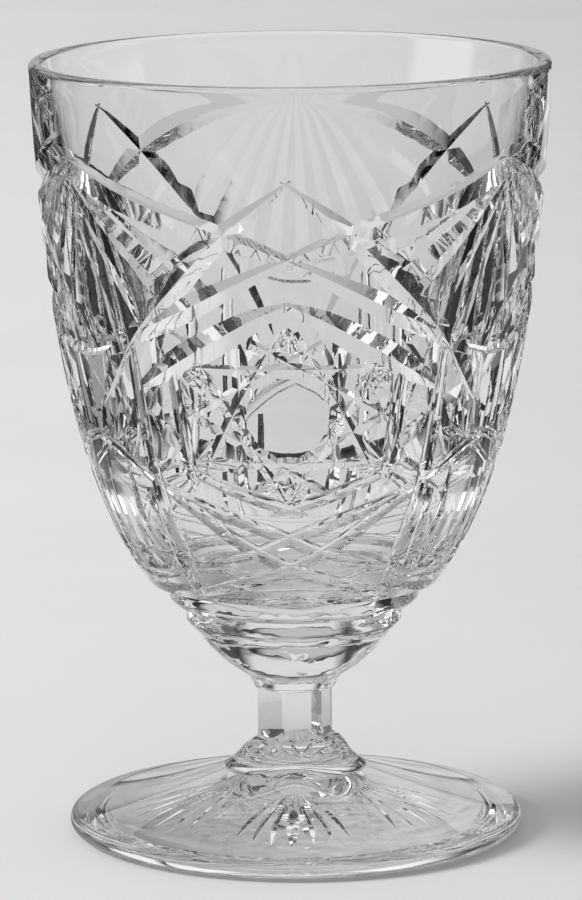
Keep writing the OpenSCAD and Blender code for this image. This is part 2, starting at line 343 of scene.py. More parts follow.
def trim(bm, angle, keep_below):
    """Cuts the mesh off at an upright plane through the axis and leaves it open there."""
    q = math.radians(angle)
    normal = Vector((math.cos(q), math.sin(q), 0))
    bmesh.ops.bisect_plane(
        bm,
        geom=[*bm.verts, *bm.edges, *bm.faces],
        dist=1e-5,
        plane_co=(0, 0, 0),
        plane_no=normal if keep_below else -normal,
        clear_outer=True,
    )


def repeat(bm, half, count):
    """Mirrors a trimmed sector of that half angle at its first edge and repeats it round the axis."""
    trim(bm, 0, False)
    trim(bm, half, True)
    seams = [v for v in bm.verts if any(e.is_boundary for e in v.link_edges)]
    for v in seams:
        angle = math.degrees(math.atan2(v.co.x, -v.co.y))
        r = math.hypot(v.co.x, v.co.y)
        q = math.radians(0 if angle < half / 2 else half)
        v.co.x, v.co.y = r * math.sin(q), -r * math.cos(q)
    copy = bmesh.ops.duplicate(bm, geom=[*bm.verts, *bm.edges, *bm.faces])["geom"]
    for v in (g for g in copy if isinstance(g, bmesh.types.BMVert)):
        v.co.x = -v.co.x
    bmesh.ops.reverse_faces(bm, faces=[g for g in copy if isinstance(g, bmesh.types.BMFace)])
    base = [*bm.verts, *bm.edges, *bm.faces]
    for k in range(1, count):
        turned_copy = bmesh.ops.duplicate(bm, geom=base)["geom"]
        bmesh.ops.rotate(
            bm,
            cent=(0, 0, 0),
            matrix=Matrix.Rotation(math.radians(k * 360 / count), 3, "Z"),
            verts=[g for g in turned_copy if isinstance(g, bmesh.types.BMVert)],
        )
    seams = [v for v in bm.verts if any(e.is_boundary for e in v.link_edges)]
    bmesh.ops.remove_doubles(bm, verts=seams, dist=2e-4)
    bmesh.ops.dissolve_degenerate(bm, edges=bm.edges, dist=1e-4)
    bmesh.ops.delete(bm, geom=[e for e in bm.edges if e.is_wire], context="EDGES")
    open_edges = sum(1 for e in bm.edges if not e.is_manifold)
    if open_edges:
        raise RuntimeError(f"the mesh has {open_edges} open edges after it was repeated round the axis")


def finish_piece(bm, name, node, material, seats, lift):
    """Turns a mesh in millimetres into a piece of the frame, with its glass and its joined seats marked."""
    bmesh.ops.triangulate(bm, faces=[f for f in bm.faces if len(f.verts) > 4])
    bm.normal_update()
    bmesh.ops.transform(bm, matrix=Matrix.Translation((0, 0, lift)), verts=bm.verts)
    joined = bm.faces.layers.float.new("joined")
    for face in bm.faces:
        face.smooth = True
        face[joined] = float(
            any(all(abs(v.co.z - seat) < 1e-3 for v in face.verts) for seat in seats)
            and all(math.hypot(v.co.x, v.co.y) < SEAT_REACH for v in face.verts)
        )
    # A seat that rests on another is held off it by a hair, so that light leaves one glass before it enters the next
    resting = {v for face in bm.faces if face[joined] and face.normal.z < 0 for v in face.verts}
    bmesh.ops.translate(bm, vec=(0, 0, SEAT_GAP), verts=list(resting))
    bmesh.ops.transform(bm, matrix=Matrix.Scale(MM, 4), verts=bm.verts)
    piece = link_mesh(bm, name, bpy.context.scene.collection)
    piece.data.set_sharp_from_angle(angle=SHARP_ANGLE)
    piece.data.materials.append(material)
    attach(piece, "root")
    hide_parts(node)
    return piece


def new_material(name):
    """An empty node material and its tree."""
    material = bpy.data.materials.new(name)
    material.use_nodes = True
    material.node_tree.nodes.clear()
    return material, material.node_tree


def ramp(tree, value, low, high, first, last, soft=True):
    """A step of a value from first to last between low and high."""
    node = tree.nodes.new("ShaderNodeMapRange")
    node.interpolation_type = "SMOOTHSTEP" if soft else "LINEAR"
    for name, setting in (("From Min", low), ("From Max", high), ("To Min", first), ("To Max", last)):
        node.inputs[name].default_value = setting
    tree.links.new(value, node.inputs["Value"])
    return node.outputs["Result"]


def combine(tree, operation, a, b):
    """The result of a calculation with two values."""
    node = tree.nodes.new("ShaderNodeMath")
    node.operation = operation
    for value, socket in zip((a, b), node.inputs):
        if isinstance(value, bpy.types.NodeSocket):
            tree.links.new(value, socket)
        else:
            socket.default_value = value
    return node.outputs["Value"]


def noise(tree, place, scale, detail):
    """The value of a noise at a place."""
    node = tree.nodes.new("ShaderNodeTexNoise")
    node.inputs["Scale"].default_value = scale
    node.inputs["Detail"].default_value = detail
    tree.links.new(place, node.inputs["Vector"])
    return node.outputs["Fac"]


def coordinates(tree, kind="Object"):
    """The place on a piece, and its parts along the three axes."""
    place = tree.nodes.new("ShaderNodeTexCoord").outputs[kind]
    axes = tree.nodes.new("ShaderNodeSeparateXYZ")
    tree.links.new(place, axes.inputs["Vector"])
    return place, *axes.outputs


def glass_material(name, settings, ripples=1.0, ripple_scale=55, uneven_below=None):
    """Clear glass with faint ripples from the mould and a fine haze of wear. Nothing shows where seats are joined.

    Below the height uneven_below, where the glass was worked while hot, it has finer and deeper ripples too.
    """
    if name in bpy.data.materials:
        return bpy.data.materials[name]
    material, tree = new_material(name)
    nodes, links = tree.nodes, tree.links
    output = nodes.new("ShaderNodeOutputMaterial")
    shader = nodes.new("ShaderNodeBsdfPrincipled")
    shader.inputs["Base Color"].default_value = (*settings.tint, 1)
    shader.inputs["Transmission Weight"].default_value = 1
    shader.inputs["IOR"].default_value = settings.ior
    place, _, _, height = coordinates(tree)
    rough = ramp(tree, noise(tree, place, 90, 6), 0.35, 0.75, settings.polish, settings.wear, soft=False)
    bump = nodes.new("ShaderNodeBump")
    bump.inputs["Strength"].default_value = settings.ripple * ripples
    bump.inputs["Distance"].default_value = 0.0002
    links.new(rough, shader.inputs["Roughness"])
    relief = noise(tree, place, ripple_scale, 1.5)
    if uneven_below is not None:
        share = ramp(tree, height, uneven_below - 0.002, uneven_below + 0.002, 24.0, 0.0)
        relief = combine(tree, "ADD", relief, combine(tree, "MULTIPLY", noise(tree, place, 260, 1.0), share))
    links.new(relief, bump.inputs["Height"])
    links.new(bump.outputs["Normal"], shader.inputs["Normal"])
    joined = nodes.new("ShaderNodeAttribute")
    joined.attribute_name = "joined"
    clear = nodes.new("ShaderNodeBsdfTransparent")
    mix = nodes.new("ShaderNodeMixShader")
    links.new(joined.outputs["Fac"], mix.inputs["Fac"])
    links.new(shader.outputs["BSDF"], mix.inputs[1])
    links.new(clear.outputs["BSDF"], mix.inputs[2])
    links.new(mix.outputs["Shader"], output.inputs["Surface"])
    body = nodes.new("ShaderNodeVolumeAbsorption")
    body.inputs["Color"].default_value = (*settings.depth_tint, 1)
    body.inputs["Density"].default_value = settings.depth_density
    links.new(body.outputs["Volume"], output.inputs["Volume"])
    return material


class TumblerBowl(bpy.types.PropertyGroup):
    """Sizes of the bowl and of the cuts in it."""

    height: FloatProperty(name="Height", description="From the seat to the rim", default=0.108, unit="LENGTH")
    seat_height: FloatProperty(
        name="Seat height", description="Height of the seat above the table", default=0.025, unit="LENGTH"
    )
    rim_diameter: FloatProperty(name="Rim", description="Diameter over the rim", default=0.0884, unit="LENGTH")
    mouth_wall: FloatProperty(
        name="Wall", description="Thickness of the wall at the mouth", default=0.0022, unit="LENGTH"
    )
    swell_rise: FloatProperty(
        name="Swell rise", description="Height of the widest point above the rim", default=0.042, unit="LENGTH"
    )
    swell_close: FloatProperty(
        name="Swell close", description="Height where the curve would close on the axis", default=0.008, unit="LENGTH"
    )
    swell_power: FloatProperty(name="Fullness", description="Fullness of the curve", default=2.8)
    seat_diameter: FloatProperty(
        name="Seat", description="Diameter of the seat on the stem", default=0.0146, unit="LENGTH"
    )
    dome_ease: FloatProperty(
        name="Dome ease", description="Reach of the hollow curve at the seat", default=0.0016, unit="LENGTH"
    )
    draft: FloatProperty(
        name="Draft", description="Draft of the wall inside", default=math.radians(10), subtype="ANGLE"
    )
    turn_height: FloatProperty(
        name="Inner turn", description="Height where the inner wall turns to the bottom", default=0.047, unit="LENGTH"
    )
    floor_height: FloatProperty(
        name="Inner floor", description="Height of the lowest point inside", default=0.014, unit="LENGTH"
    )
    step_top: FloatProperty(
        name="Step top", description="Height where the pattern ends at the steps", default=0.0185, unit="LENGTH"
    )
    step_height: FloatProperty(name="Step", description="Height of each step", default=0.004, unit="LENGTH")
    step_bevel: FloatProperty(
        name="Step bevel", description="Bevel under each step", default=0.001, unit="LENGTH"
    )
    upper_step: FloatProperty(
        name="Upper step", description="Diameter of the upper step", default=0.043, unit="LENGTH"
    )
    lower_step: FloatProperty(
        name="Lower step", description="Diameter of the lower step", default=0.0372, unit="LENGTH"
    )
    mitre_angle: FloatProperty(
        name="Mitre", description="Included angle of the cuts", default=math.radians(125), subtype="ANGLE"
    )
    mitre_depth: FloatProperty(
        name="Main depth", description="Depth of the main mitres", default=0.0011, unit="LENGTH"
    )
    cross_depth: FloatProperty(
        name="Fine depth", description="Depth of the finer mitres", default=0.0005, unit="LENGTH"
    )
    fan_flutes: IntProperty(name="Flutes", description="Flutes in each fan", default=10, min=5)
    fan_spread: FloatProperty(
        name="Flute turn", description="Turn from flute to flute at the tip", default=math.radians(12.6),
        subtype="ANGLE",
    )
    fan_tip: FloatProperty(
        name="Fan tip", description="Height of the fans' tips above the seat", default=0.0936, unit="LENGTH"
    )
    flute_depth: FloatProperty(
        name="Flute depth", description="Depth of a flute at its lower end", default=0.0013, unit="LENGTH"
    )
    button_height: FloatProperty(
        name="Button height", description="Height of the button's middle", default=0.053, unit="LENGTH"
    )
    button_diameter: FloatProperty(
        name="Button", description="Diameter of the button", default=0.0162, unit="LENGTH"
    )
    star_cuts: IntProperty(name="Star", description="Cuts of the star round the button", default=12, min=6)
    star_depth: FloatProperty(
        name="Star depth", description="Depth of the star's cuts", default=0.00045, unit="LENGTH"
    )


class TumblerStem(bpy.types.PropertyGroup):
    """Sizes of the six-sided stem."""

    base_height: FloatProperty(
        name="Base", description="Height of the stem's lower face", default=0.0102, unit="LENGTH"
    )
    height: FloatProperty(name="Height", description="From the foot to the bowl", default=0.0148, unit="LENGTH")
    across_flats: FloatProperty(
        name="Across flats", description="Width across two flats", default=0.0114, unit="LENGTH"
    )
    flats: IntProperty(name="Flats", description="Flats round the stem", default=6, min=3)
    turn: FloatProperty(
        name="Turn", description="Turn of the flats from the side", default=math.radians(45), subtype="ANGLE"
    )
    collar: FloatProperty(name="Collar", description="Diameter of the collar", default=0.0244, unit="LENGTH")
    flare: FloatProperty(name="Flare", description="Height of the flare", default=0.0057, unit="LENGTH")


class TumblerFoot(bpy.types.PropertyGroup):
    """Sizes of the foot and of the rays under it."""

    diameter: FloatProperty(name="Diameter", description="Over the foot", default=0.078, unit="LENGTH")
    height: FloatProperty(name="Height", description="At the collar", default=0.0102, unit="LENGTH")
    edge: FloatProperty(name="Edge", description="Thickness of the rounded edge", default=0.003, unit="LENGTH")
    middle_height: FloatProperty(
        name="Middle", description="Height half way in to the collar", default=0.0056, unit="LENGTH"
    )
    hollow: FloatProperty(
        name="Hollow", description="Depth of the hollow at its edge", default=0.0012, unit="LENGTH"
    )
    roof: FloatProperty(
        name="Roof", description="Height of the hollow's roof on the axis", default=0.0079, unit="LENGTH"
    )
    rest_width: FloatProperty(
        name="Rest", description="Width of the ring it rests on", default=0.0045, unit="LENGTH"
    )
    sprays: IntProperty(name="Sprays", description="Sprays of rays under the foot", default=6, min=3)
    rays: IntProperty(name="Rays", description="Rays in each spray", default=7, min=1)
    ray_turn: FloatProperty(
        name="Ray turn", description="Turn between two rays", default=math.radians(10), subtype="ANGLE"
    )
    ray_length: FloatProperty(
        name="Ray length", description="Length of the middle ray", default=0.0215, unit="LENGTH"
    )
    ray_depth: FloatProperty(name="Ray depth", description="Depth of a ray", default=0.0007, unit="LENGTH")
    spray_tip: FloatProperty(
        name="Spray tip", description="Distance of a spray's tip from the axis", default=0.009, unit="LENGTH"
    )


class TumblerGlass(bpy.types.PropertyGroup):
    """The clear glass."""

    tint: FloatVectorProperty(
        name="Tint", description="Colour of the glass", default=(0.985, 0.99, 0.988), subtype="COLOR", size=3,
        min=0, max=1,
    )
    depth_tint: FloatVectorProperty(
        name="Depth tint", description="Colour of thick glass", default=(0.5, 0.53, 0.51), subtype="COLOR", size=3,
        min=0, max=1,
    )
    depth_density: FloatProperty(
        name="Depth density", description="How fast thick glass darkens, per metre", default=7.0, min=0
    )
    ior: FloatProperty(name="IOR", description="Index of refraction", default=1.52, min=1)
    polish: FloatProperty(name="Polish", description="Roughness of clean glass", default=0.0, min=0, max=1)
    wear: FloatProperty(name="Wear", description="Roughness of worn glass", default=0.02, min=0, max=1)
    ripple: FloatProperty(name="Ripple", description="Strength of the mould's ripples", default=0.05, min=0)


class TumblerStage(bpy.types.PropertyGroup):
    """Camera, floor and lamps."""

    camera_distance: FloatProperty(
        name="Distance", description="Level distance of the camera from the axis", default=0.885, unit="LENGTH"
    )
    camera_height: FloatProperty(
        name="Height", description="Height of the camera", default=0.2315, unit="LENGTH"
    )
    camera_turn: FloatProperty(
        name="Turn", description="Turn of the camera round the glass", default=math.radians(1.2), subtype="ANGLE"
    )
    camera_pitch: FloatProperty(
        name="Pitch", description="How far the camera looks down", default=math.radians(10.621), subtype="ANGLE"
    )
    camera_roll: FloatProperty(
        name="Roll", description="Lean of the camera", default=math.radians(-0.45), subtype="ANGLE"
    )
    camera_side: FloatProperty(
        name="Side step", description="Camera moved sideways", default=-0.00034, unit="LENGTH"
    )
    lens: FloatProperty(name="Lens", description="Focal length in millimetres", default=210.36)
    floor_color: FloatVectorProperty(
        name="Floor", description="Colour of the floor", default=(0.72, 0.72, 0.72), subtype="COLOR", size=3,
        min=0, max=1,
    )
    paper_light: FloatProperty(
        name="Paper", description="Brightness of the paper seen through the glass", default=0.66, min=0
    )
    room_light: FloatProperty(
        name="Room", description="Brightness of the room seen through the glass", default=0.027, min=0
    )
    paper_near: FloatProperty(
        name="Paper near", description="Half the paper's width beside the glass", default=0.145, unit="LENGTH"
    )
    paper_spread: FloatProperty(
        name="Paper spread", description="How much wider half the paper gets per metre", default=0.06
    )
    key_power: FloatProperty(name="Key", description="Power of the key lamp", default=110.0, min=0)
    world_light: FloatProperty(name="World", description="Strength of the room's light", default=0.6, min=0)


def swell(s, depth):
    """Share of the widest radius at a depth under the widest point of the bowl's curve."""
    reach = s.height + s.swell_rise - s.swell_close
    return (1 - (depth / reach) ** s.swell_power) ** (1 / s.swell_power)


def bowl_radius(s, h):
    """Radius of the uncut bowl in mm at a height in mm above its seat."""
    widest = mm(s.rim_diameter) / 2 / swell(s, s.swell_rise)
    return widest * swell(s, s.height + s.swell_rise - h * MM)


def on_bowl(s, turn, h):
    """A point on the uncut bowl and the way out of it."""
    q = math.radians(turn)
    r = bowl_radius(s, h)
    lean = bowl_radius(s, h + 0.5) - bowl_radius(s, h - 0.5)
    return (
        Vector((r * math.sin(q), -r * math.cos(q), h)),
        Vector((math.sin(q), -math.cos(q), -lean)).normalized(),
    )


def bowl_outline(s):
    """The outline of the bowl before cutting, from its seat round to the floor of its hollow."""
    top, step, bevel = mm(s.step_top), mm(s.step_height), mm(s.step_bevel)
    upper, lower = mm(s.upper_step) / 2, mm(s.lower_step) / 2
    seat, ease = mm(s.seat_diameter) / 2, mm(s.dome_ease)
    rim, wall, height = mm(s.rim_diameter) / 2, mm(s.mouth_wall), mm(s.height)
    lip = (rim - wall / 2, height - wall / 2)
    under = [
        (lower - 2, top - 2 * step - bevel),
        (lower, top - 2 * step + bevel),
        (lower, top - step),
        (upper - bevel, top - step),
        (upper, top - step + bevel),
        (upper, top),
        (bowl_radius(s, top), top),
        (bowl_radius(s, top + 1.2), top + 1.2),
    ]
    waist = (seat + ease / 2, ease)
    belly = (lerp(waist[0], under[0][0], 0.66), lerp(waist[1], under[0][1], 0.4))
    outline = [(0, 0), (seat, 0)] + bend(waist, belly, under[0], 14)[:-1]
    outline += eased(under, 0.3)[:-1]
    rows = 66
    outline += [
        (bowl_radius(s, h), h) for h in (lerp(top + 1.2, lip[1], k / rows) for k in range(rows))
    ]
    outline += [
        (lip[0] + wall / 2 * math.cos(q), lip[1] + wall / 2 * math.sin(q))
        for q in (math.radians(a) for a in range(0, 181, 12))
    ]
    turn_h, floor_h = mm(s.turn_height), mm(s.floor_height)
    turn_r = rim - wall - (height - turn_h) * math.tan(s.draft)
    inner = (rim - wall, lip[1])
    # The straight upper wall runs into the round bottom over a soft curve
    outline += [(lerp(inner[0], turn_r, t), lerp(inner[1], turn_h, t)) for t in (k / 14 for k in range(1, 14))]
    outline += [
        (turn_r * math.cos(q), turn_h - (turn_h - floor_h) * math.sin(q))
        for q in (math.radians(a) for a in range(0, 90, 4))
    ]
    return outline + [(0, floor_h)]


def bowl_paths(s):
    """Every groove of half a panel: a list of (turn, height, depth in mm, half its angle), and its facets."""
    mitre = math.degrees(s.mitre_angle) / 2
    paths = []
    for name, (setting, points, runs) in GROOVES.items():
        depth = mm(getattr(s, setting))
        path = [(a, h, share * depth, mitre) for a, h, share in spline(points, runs)]
        paths.append((path, 6 if name in ROUND_GROOVES else 2))
    return paths + [(path, 2) for path in fan_paths(s) + star_paths(s)]


def fan_paths(s):
    """The flutes that spread from a fan's tip and deepen evenly down to its lower edge."""
    tip = mm(s.fan_tip)
    half = (s.fan_flutes - 1) / 2
    paths = []
    for k in range(s.fan_flutes):
        lean = (k - half) * s.fan_spread
        # The lower edge is level under the middle flutes and rises along the gable beside them
        length = min(31.5 / math.cos(lean), 30.6 / math.cos(abs(lean) - math.radians(38)) + 1.0)
        path = []
        for row in range(1, 13):
            t = row / 12
            h = tip - length * t * math.cos(lean)
            turn = HALF_PANEL + math.degrees(length * t * math.sin(lean) / bowl_radius(s, tip - 12))
            # Flutes meet in ridges all the way down, and get steeper as they spread
            depth = mm(s.flute_depth) * t**1.15 * (1 - 0.5 * (k / half - 1) ** 4)
            width = 2 * length * t * math.tan(s.fan_spread / 2)
            path.append((turn, h, depth - 0.02, math.degrees(math.atan2(width / 2, depth))))
        paths.append(path)
    return paths


def star_paths(s):
    """Straight cuts past the button on all sides, each as long as its field between the mitres allows."""
    field = [(0, 67.8), (26.8, 61.0), (26.2, 44.2), (0, 37.4), (-26.2, 44.2), (-26.8, 61.0)]
    middle = mm(s.button_height)
    r = bowl_radius(s, middle)
    corners = [(math.radians(a) * r, h - middle) for a, h in field]
    apart = mm(s.button_diameter) / 2
    paths = []
    for i in range(s.star_cuts):
        q = i * math.tau / s.star_cuts
        out, along = (math.cos(q), math.sin(q)), (-math.sin(q), math.cos(q))
        low, high = -99.0, 99.0
        for (x0, y0), (x1, y1) in zip(corners, corners[1:] + corners[:1]):
            # The field's inside is to the right of each side
            nx, ny = y1 - y0, x0 - x1
            gap = nx * (x0 - out[0] * apart) + ny * (y0 - out[1] * apart)
            slope = nx * along[0] + ny * along[1]
            if abs(slope) < 1e-9:
                continue
            if slope < 0:
                high = min(high, gap / slope)
            else:
                low = max(low, gap / slope)
        path = []
        for k in range(17):
            t = lerp(low, high, k / 16)
            x, y = out[0] * apart + along[0] * t, out[1] * apart + along[1] * t
            # A cut is deepest beside the button, where it shapes the button's edge
            depth = mm(s.star_depth) * (1 + 0.7 * math.exp(-((t / 2.6) ** 2)))
            path.append((math.degrees(x / r), middle + y, depth, math.degrees(s.mitre_angle) / 2))
        paths.append(path)
    return paths + corner_paths(s)


def corner_paths(s):
    """Short cuts that spread into the star's field from its corners."""
    paths = []
    for (turn, h), aim, count, spread, length in STAR_CORNERS:
        r = bowl_radius(s, h)
        for i in range(count):
            lean = math.radians(aim + (i - (count - 1) / 2) * spread)
            path = []
            for k in range(5):
                t = k / 4
                x, y = length * t * math.sin(lean), length * t * math.cos(lean)
                depth = mm(s.star_depth) * math.sin(math.pi * (0.12 + 0.8 * t))
                path.append((turn + math.degrees(x / r), h + y, depth, math.degrees(s.mitre_angle) / 2))
            paths.append(path)
    return paths


class TUMBLER_OT_bowl(bpy.types.Operator):
    """Turn the bowl, cut its pattern and put it on the stem's seat"""

    bl_idname = "tumbler.bowl"
    bl_label = "Build the bowl"
    bl_options = {"REGISTER", "UNDO"}

    def execute(self, context):
        s = context.scene.tumbler_bowl
        columns = [k - SECTOR_MARGIN for k in range(int(HALF_PANEL + 2 * SECTOR_MARGIN) + 1)]
        blank = turned(bowl_outline(s), columns)
        cutters = []
        for path, facets in bowl_paths(s):
            turns, heights, depths, half_angles = zip(*path)
            for image in (turns, [-a for a in turns], [PANEL_TURN - a for a in turns]):
                if max(image) < -SECTOR_MARGIN - 3 or min(image) > HALF_PANEL + SECTOR_MARGIN + 3:
                    continue
                points, normals = zip(*(on_bowl(s, a, h) for a, h in zip(image, heights)))
                cutters.append(groove(points, normals, depths, half_angles, facets))
        bm = carve(blank, cutters)
        repeat(bm, HALF_PANEL, 3)
        glass = context.scene.tumbler_glass
        finish_piece(
            bm, "tumbler_bowl", "bowl", glass_material("bowl_glass", glass, uneven_below=0.043),
            [mm(s.seat_height)], mm(s.seat_height),
        )
        return {"FINISHED"}


class TUMBLER_OT_stem(bpy.types.Operator):
    """Turn the stem and cut its flats"""

    bl_idname = "tumbler.stem"
    bl_label = "Build the stem"
    bl_options = {"REGISTER", "UNDO"}

    def execute(self, context):
        s = context.scene.tumbler_stem
        bowl = context.scene.tumbler_bowl
        height, flat, collar = mm(s.height), mm(s.across_flats) / 2, mm(s.collar) / 2
        seat = mm(bowl.seat_diameter) / 2
        flare = mm(s.flare)
        neck = flat / math.cos(math.pi / s.flats) + 0.25
        outline = [(0, 0), (collar, 0)]
        outline += bend((collar, 0.4), (neck + 1.4, 2.9), (neck, flare + 3), 20)
        outline += bend((neck, height - 1.6), (neck, height - 0.5), (seat, height), 10)
        outline += [(0, height)]
        blank = turned(outline, range(0, 361, 3))
        bmesh.ops.delete(blank, geom=[f for f in blank.faces if len(f.verts) > 4], context="FACES_ONLY")
        bmesh.ops.remove_doubles(blank, verts=blank.verts, dist=1e-5)
        facet = [
            (collar - 0.4, 1.2), (flat, flare), (flat, height - 0.8), (flat + 1.6, height - 0.25),
            (2 * collar, height - 0.25), (2 * collar, 1.2),
        ]
        cutters = []
        for k in range(s.flats):
            bm = bmesh.new()
            turn = Matrix.Rotation(s.turn + k * math.tau / s.flats, 4, "Z")
            rows = [[bm.verts.new(turn @ Vector((r, y, z))) for r, z in facet] for y in (-collar, collar)]
            for i in range(len(facet)):
                bm.faces.new((rows[0][i], rows[0][i - 1], rows[1][i - 1], rows[1][i]))
            bm.faces.new(rows[0])
            bm.faces.new(rows[1][::-1])
            bmesh.ops.recalc_face_normals(bm, faces=bm.faces)
            cutters.append(bm)
        bm = carve(blank, cutters)
        base = mm(s.base_height)
        finish_piece(
            bm, "tumbler_stem", "stem",
            glass_material("stem_glass", context.scene.tumbler_glass, 5, 200),
            [base, base + height], base,
        )
        return {"FINISHED"}


class TUMBLER_OT_foot(bpy.types.Operator):
    """Turn the foot and cut the rays under it"""

    bl_idname = "tumbler.foot"
    bl_label = "Build the foot"
    bl_options = {"REGISTER", "UNDO"}

    def execute(self, context):
        s = context.scene.tumbler_foot
        edge = mm(s.edge) / 2
        rim = mm(s.diameter) / 2 - edge
        hollow = mm(s.hollow)
        rest = rim - mm(s.rest_width)
        collar = mm(context.scene.tumbler_stem.collar) / 2
        roof, core = mm(s.roof), mm(s.spray_tip)
        slope = (roof - hollow) / (rest - hollow)
        outline = [(lerp(0, rest - hollow, k / 12), lerp(roof, hollow, k / 12)) for k in range(13)]
        outline += [(rest, 0)]
        outline += [
            (rim + edge * math.cos(q), edge + edge * math.sin(q))
            for q in (math.radians(a) for a in range(-90, 91, 12))
        ]
        shoulder = (rim - 2, 2 * edge + 0.2)
        middle = (mm(s.diameter) / 4 + collar / 2, mm(s.middle_height))
        outline += bend(shoulder, middle, (collar, mm(s.height)), 24)
        outline += [(0, mm(s.height))]
        half = 180 / s.sprays
        columns = [lerp(-SECTOR_MARGIN, half + SECTOR_MARGIN, k / 33) for k in range(34)]
        blank = turned(outline, columns)
        cutters = []
        side = (s.rays - 1) // 2
        for spray in (-1, 0, 1, 2):
            axis = Matrix.Rotation(math.radians(spray * 2 * half), 3, "Z")
            for i in range(-side, side + 1):
                length = mm(s.ray_length) * (1 - 0.04 * abs(i))
                lean = i * s.ray_turn
                points, normals, depths = [], [], []
                for k in range(13):
                    t = lerp(0.1, 1.0, k / 12)
                    flat = Vector((length * t * math.sin(lean), -core - length * t * math.cos(lean), 0))
                    inward = -flat.normalized()
                    points.append(axis @ (flat + Vector((0, 0, roof - flat.length * slope))))
                    normals.append(axis @ (inward * slope - Vector((0, 0, 1))).normalized())
                    depths.append(mm(s.ray_depth) * math.sin(math.pi * (k / 12) ** 1.25) - 0.02)
                cutters.append(groove(points, normals, depths, [58] * 13))
        bm = carve(blank, cutters)
        repeat(bm, half, s.sprays)
        finish_piece(
            bm, "tumbler_foot", "foot",
            glass_material("foot_glass", context.scene.tumbler_glass),
            [mm(s.height)], 0,
        )
        return {"FINISHED"}


def glass_only(piece, strength):
    """Makes a glowing piece of the stage that only glass sees, a painted reflection: a dark flag at strength 0, a
    painted soft box above 1.
    """
    material, tree = new_material(piece.name)
    output = tree.nodes.new("ShaderNodeOutputMaterial")
    glow = tree.nodes.new("ShaderNodeEmission")
    glow.inputs["Strength"].default_value = strength
    tree.links.new(glow.outputs["Emission"], output.inputs["Surface"])
    piece.data.materials.append(material)
    piece.visible_camera = False
    piece.visible_diffuse = False
    piece.visible_shadow = False
    return tree, glow


def sheet(name, width, depth):
    """A flat sheet that lies level at the origin."""
    bm = bmesh.new()
    bmesh.ops.create_grid(bm, x_segments=1, y_segments=1, size=0.5)
    bmesh.ops.scale(bm, vec=(width, depth, 1), verts=bm.verts)
    return link_mesh(bm, name, bpy.context.scene.collection)


def card(name, turn, lift, distance, width, height, strength):
    """A flat glowing card, seen only by the glass as a painted reflection, whose brightness fades at its edges and
    which faces the glass from that turn and lift.
    """
    q, e = math.radians(turn), math.radians(lift)
    piece = sheet(name, width, height)
    centre = Vector((0, 0, 0.07))
    away = Vector((math.sin(q) * math.cos(e), -math.cos(q) * math.cos(e), math.sin(e)))
    facing = away.to_track_quat("Z", "Y").to_matrix().to_4x4()
    piece.matrix_world = Matrix.Translation(centre + away * distance) @ facing
    tree, glow = glass_only(piece, strength)
    _, x, y, _ = coordinates(tree, "Generated")
    light = strength
    for along in (x, y):
        aside = combine(tree, "ABSOLUTE", combine(tree, "SUBTRACT", along, 0.5), 0)
        light = combine(tree, "MULTIPLY", ramp(tree, aside, 0.3, 0.5, 1.0, 0.0), light)
    tree.links.new(light, glow.inputs["Strength"])


def painted_patch(name, x, y, width, depth, strength):
    """A glowing patch on the paper that only the glass shows: painted light where it is brighter than the paper,
    painted shade where it is darker.
    """
    piece = sheet(name, width, depth)
    piece.location = (x, y, -0.0001)
    glass_only(piece, strength)


def swept(name, outline, turns=96):
    """A piece of the stage swept all the way round the axis from an outline of (radius, height) points."""
    bm = bmesh.new()
    axis = {i: bm.verts.new((0, 0, z)) for i, (r, z) in enumerate(outline) if r == 0}
    columns = []
    for k in range(turns):
        q = math.tau * k / turns
        columns.append([
            axis[i] if r == 0 else bm.verts.new((r * math.sin(q), -r * math.cos(q), z))
            for i, (r, z) in enumerate(outline)
        ])
    for k in range(turns):
        a, b = columns[k - 1], columns[k]
        for i in range(len(outline) - 1):
            bm.faces.new(dict.fromkeys((a[i], a[i + 1], b[i + 1], b[i])))
    for face in bm.faces:
        face.smooth = True
    return link_mesh(bm, name, bpy.context.scene.collection)


